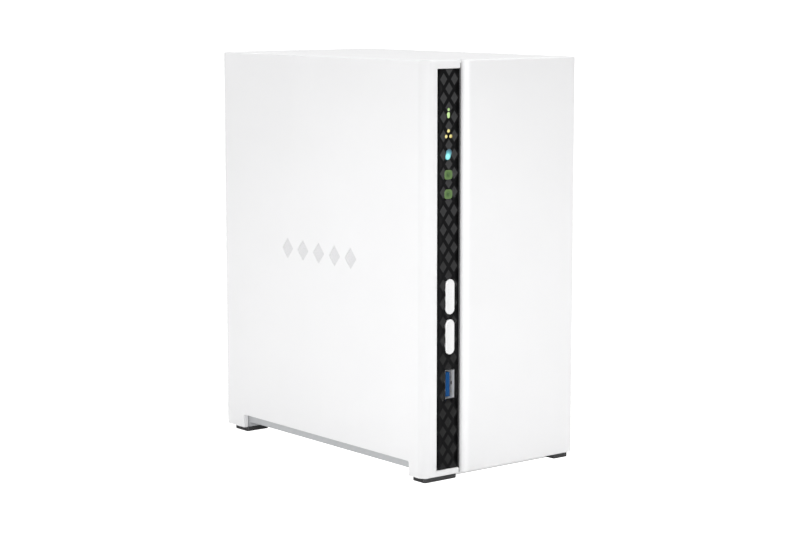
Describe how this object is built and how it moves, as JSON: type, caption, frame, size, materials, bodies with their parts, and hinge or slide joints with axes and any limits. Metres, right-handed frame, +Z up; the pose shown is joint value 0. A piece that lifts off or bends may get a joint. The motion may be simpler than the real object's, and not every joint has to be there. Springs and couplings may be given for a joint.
{
  "type": "network attached storage",
  "caption": "Desktop network storage unit: tall white case, dark patterned front strip with long push buttons and lights, slide-off cover, upright drives and a rear fan.",
  "frame": {"origin": "on the table under the middle of the case", "axes": "+Z up, the front faces -Y, +X to the right seen from the front"},
  "size_m": [0.0902, 0.1562, 0.1886],
  "materials": {
    "shell_white": "fine-textured white moulding",
    "cover_white": "fine-textured white moulding",
    "tray_grey": "grey moulding",
    "panel_white": "fine-textured white moulding",
    "strip_black": "dark moulding with a diamond relief",
    "foot_rubber": "soft dark rubber",
    "button_white": "satin white",
    "plunger_grey": "moulded",
    "guide_clear": "clear moulding",
    "board_green": "solder mask",
    "chip_black": "moulded package",
    "header_ivory": "nylon",
    "connector_black": "moulded",
    "tongue_blue": "moulded",
    "ferrite_grey": "ferrite",
    "heatsink_alu": "anodised",
    "capacitor_alu": "can",
    "drive_alu": "cast",
    "arm_alu": "machined",
    "cage_steel": "zinc-plated sheet",
    "lid_steel": "stamped sheet",
    "port_steel": "nickel-plated sheet",
    "cell_steel": "nickel-plated",
    "disc_mirror": "polished",
    "pin_brass": "plated",
    "coil_copper": "enamelled winding",
    "fan_black": "moulded",
    "cable_black": "sleeve",
    "screw_black": "black oxide",
    "screw_zinc": "zinc-plated",
    "lens_green": "translucent, lit",
    "lens_amber": "translucent, lit",
    "lens_cyan": "translucent, lit",
    "lens_disk": "translucent, lit"
  },
  "bodies": {
    "chassis": {"left_shell": "shell_white", "base_tray": "tray_grey", "rear_panel": "panel_white", "lock_plate": "cage_steel", "front_strip": "strip_black", "foot_front_left": "foot_rubber", "foot_front_right": "foot_rubber", "foot_rear_left": "foot_rubber", "foot_rear_right": "foot_rubber", "status_lens": "lens_green", "network_lens": "lens_amber", "usb_lens": "lens_cyan", "disk1_lens": "lens_disk", "disk2_lens": "lens_disk", "light_guide": "guide_clear", "switch_bodies": "chip_black", "mainboard": "board_green", "processor": "chip_black", "heatsink": "heatsink_alu", "board_chips": "chip_black", "capacitors": "capacitor_alu", "inductors": "ferrite_grey", "clock_battery": "cell_steel", "buzzer": "chip_black", "indicator_leds": "header_ivory", "board_headers": "header_ivory", "usb_shells": "port_steel", "front_usb_tongue": "tongue_blue", "rear_usb_tongues": "connector_black", "lan_shell": "port_steel", "lan_insert": "connector_black", "power_jack": "connector_black", "jack_pin": "pin_brass", "backplane": "board_green", "drive_sockets": "connector_black", "drive_cage": "cage_steel", "drive1_base": "drive_alu", "drive1_lid": "lid_steel", "drive1_board": "board_green", "drive2_base": "drive_alu", "drive2_lid": "lid_steel", "drive2_board": "board_green", "fan_frame": "fan_black", "fan_stator": "coil_copper", "fan_cable": "cable_black", "case_screws": "screw_black", "frame_screws": "screw_zinc", "drive_screws": "screw_zinc"},
    "cover_body": {"cover": "cover_white"},
    "power_key": {"power_button": "button_white", "power_plunger": "plunger_grey"},
    "copy_key": {"copy_button": "button_white", "copy_plunger": "plunger_grey"},
    "reset_key": {"reset_plunger": "plunger_grey"},
    "rotor": {"fan_rotor": "fan_black"},
    "discs1": {"drive1_platters": "disc_mirror"},
    "heads1": {"drive1_arm": "arm_alu"},
    "discs2": {"drive2_platters": "disc_mirror"},
    "heads2": {"drive2_arm": "arm_alu"}
  },
  "joints": [
    {"name": "cover_slide", "type": "slide", "parent": "chassis", "child": "cover_body", "axis": [0, -1, 0], "range_m": [0, 0.17]},
    {"name": "power_press", "type": "slide", "parent": "chassis", "child": "power_key", "axis": [0, 1, 0], "range_m": [0, 0.0005], "stiffness_N_per_m": 2500},
    {"name": "copy_press", "type": "slide", "parent": "chassis", "child": "copy_key", "axis": [0, 1, 0], "range_m": [0, 0.0005], "stiffness_N_per_m": 2500},
    {"name": "reset_press", "type": "slide", "parent": "chassis", "child": "reset_key", "axis": [0, -1, 0], "range_m": [0, 0.0003], "stiffness_N_per_m": 4000},
    {"name": "fan_spin", "type": "hinge", "parent": "chassis", "child": "rotor", "pos_m": [0.009, 0.0627, 0.102], "axis": [0, 1, 0], "continuous": true},
    {"name": "spindle1", "type": "hinge", "parent": "chassis", "child": "discs1", "pos_m": [-0.0068, -0.0152, 0.1185], "axis": [1, 0, 0], "continuous": true},
    {"name": "head_swing1", "type": "hinge", "parent": "chassis", "child": "heads1", "pos_m": [-0.0068, -0.046, 0.0635], "axis": [1, 0, 0], "range_deg": [0, 31]},
    {"name": "spindle2", "type": "hinge", "parent": "chassis", "child": "discs2", "pos_m": [0.0223, -0.0152, 0.1185], "axis": [1, 0, 0], "continuous": true},
    {"name": "head_swing2", "type": "hinge", "parent": "chassis", "child": "heads2", "pos_m": [0.0223, -0.046, 0.0635], "axis": [1, 0, 0], "range_deg": [0, 31]}
  ]
}
